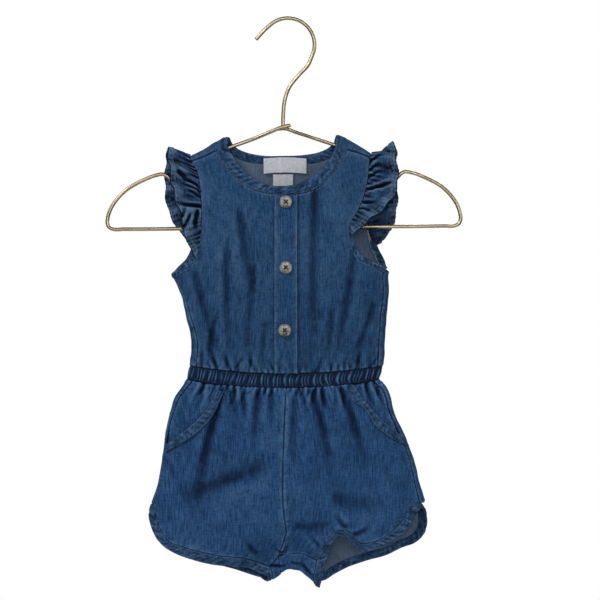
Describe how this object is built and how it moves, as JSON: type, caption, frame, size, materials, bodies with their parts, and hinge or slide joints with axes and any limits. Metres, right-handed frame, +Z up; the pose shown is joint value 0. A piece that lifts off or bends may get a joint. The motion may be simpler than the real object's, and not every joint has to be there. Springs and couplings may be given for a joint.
{
  "type": "baby romper on a wire hanger",
  "caption": "Sleeveless chambray baby romper with ruffled armholes, a button placket and gathered waist, hanging open on a brass-coloured wire hanger",
  "frame": {"origin": "the inner top of the hanger's hook, where it rests on a rail", "axes": "+Z up, the garment's front facing -Y, +X to the right as seen from the front"},
  "size_m": [0.357, 0.0519, 0.5714],
  "materials": {
    "chambray": "plain-weave cotton chambray, dark indigo warp and pale weft, lightly washed",
    "chambray_binding": "the same chambray cut on the bias or gathered on elastic, mottled and puckered",
    "label_ribbon": "white satin ribbon, bare",
    "horn_button": "polished imitation-horn polyester, cream with brown streaks",
    "brass_wire": "brass-plated steel wire, satin bright"
  },
  "bodies": {
    "root": {"bodice_front_left": "chambray", "bodice_front_right": "chambray", "bodice_back": "chambray", "button_placket": "chambray", "ruffle_left": "chambray", "ruffle_right": "chambray", "shorts_front_left": "chambray", "shorts_front_right": "chambray", "shorts_back_left": "chambray", "shorts_back_right": "chambray", "pocket_facing_left": "chambray", "pocket_facing_right": "chambray", "neck_binding": "chambray_binding", "armhole_binding_left": "chambray_binding", "armhole_binding_right": "chambray_binding", "waistband": "chambray_binding", "pocket_binding_left": "chambray_binding", "pocket_binding_right": "chambray_binding", "leg_binding_left": "chambray_binding", "leg_binding_right": "chambray_binding", "button_top": "horn_button", "button_middle": "horn_button", "button_bottom": "horn_button", "neck_label": "label_ribbon", "size_tab": "label_ribbon", "hanger_frame": "brass_wire", "hanger_hook": "brass_wire"}
  },
  "joints": []
}
